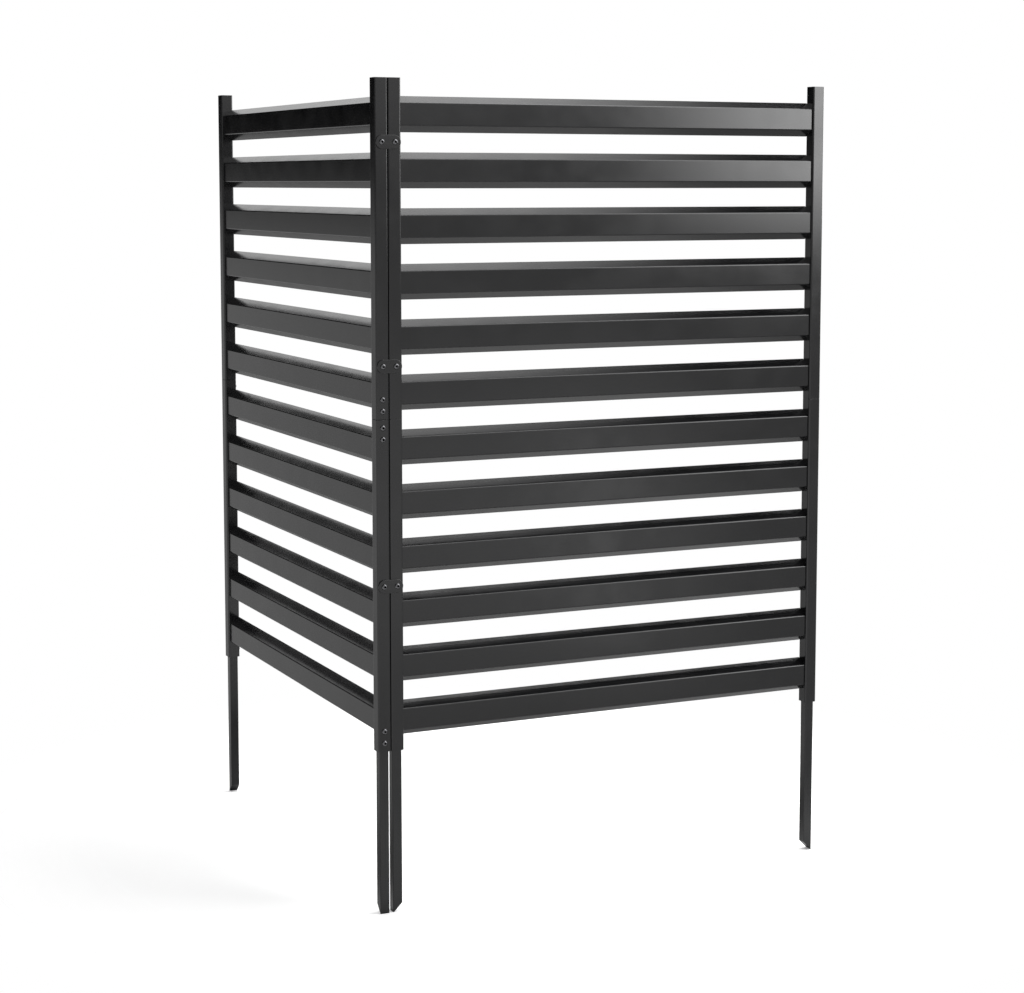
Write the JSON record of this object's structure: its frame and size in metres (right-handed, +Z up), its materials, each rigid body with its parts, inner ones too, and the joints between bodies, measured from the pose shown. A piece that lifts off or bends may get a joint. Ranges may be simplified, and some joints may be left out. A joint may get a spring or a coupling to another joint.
{
  "type": "privacy fence panel",
  "caption": "Corner pair of slatted steel privacy panels: bent horizontal slats between split square posts, bolted together with link plates and standing on pointed ground stakes.",
  "frame": {"origin": "middle of the fence's plan outline, at the level of the ground stakes' tips", "axes": "+Z up along the posts; +X along the front panel from the corner to its free end; +Y from the front panel's face to the back, along the side panel"},
  "size_m": [0.9432, 0.9208, 1.524],
  "materials": {
    "coated_post": "glossy black powder coat",
    "coated_slat": "glossy black powder coat",
    "coated_stake": "glossy black powder coat",
    "coated_plate": "glossy black powder coat",
    "black_bolt": "black coated steel",
    "plated_sleeve": "zinc plated",
    "cap_plastic": "moulded matte black"
  },
  "bodies": {
    "root": {"front_corner_ground_stake": "coated_stake", "front_corner_joining_sleeve": "plated_sleeve", "front_corner_post_cap": "cap_plastic", "front_corner_post_lower": "coated_post", "front_corner_post_upper": "coated_post", "front_corner_sleeve_bolts": "black_bolt", "front_corner_stake_bolts": "black_bolt", "front_end_ground_stake": "coated_stake", "front_end_joining_sleeve": "plated_sleeve", "front_end_post_cap": "cap_plastic", "front_end_post_lower": "coated_post", "front_end_post_upper": "coated_post", "front_end_sleeve_bolts": "black_bolt", "front_end_stake_bolts": "black_bolt", "front_slat_01": "coated_slat", "front_slat_02": "coated_slat", "front_slat_03": "coated_slat", "front_slat_04": "coated_slat", "front_slat_05": "coated_slat", "front_slat_06": "coated_slat", "front_slat_07": "coated_slat", "front_slat_08": "coated_slat", "front_slat_09": "coated_slat", "front_slat_10": "coated_slat", "front_slat_11": "coated_slat", "front_slat_12": "coated_slat", "link_bolts_1": "black_bolt", "link_bolts_2": "black_bolt", "link_bolts_3": "black_bolt", "link_plate_1": "coated_plate", "link_plate_2": "coated_plate", "link_plate_3": "coated_plate", "side_corner_ground_stake": "coated_stake", "side_corner_joining_sleeve": "plated_sleeve", "side_corner_post_cap": "cap_plastic", "side_corner_post_lower": "coated_post", "side_corner_post_upper": "coated_post", "side_corner_sleeve_bolts": "black_bolt", "side_corner_stake_bolts": "black_bolt", "side_end_ground_stake": "coated_stake", "side_end_joining_sleeve": "plated_sleeve", "side_end_post_cap": "cap_plastic", "side_end_post_lower": "coated_post", "side_end_post_upper": "coated_post", "side_end_sleeve_bolts": "black_bolt", "side_end_stake_bolts": "black_bolt", "side_slat_01": "coated_slat", "side_slat_02": "coated_slat", "side_slat_03": "coated_slat", "side_slat_04": "coated_slat", "side_slat_05": "coated_slat", "side_slat_06": "coated_slat", "side_slat_07": "coated_slat", "side_slat_08": "coated_slat", "side_slat_09": "coated_slat", "side_slat_10": "coated_slat", "side_slat_11": "coated_slat", "side_slat_12": "coated_slat"}
  },
  "joints": []
}
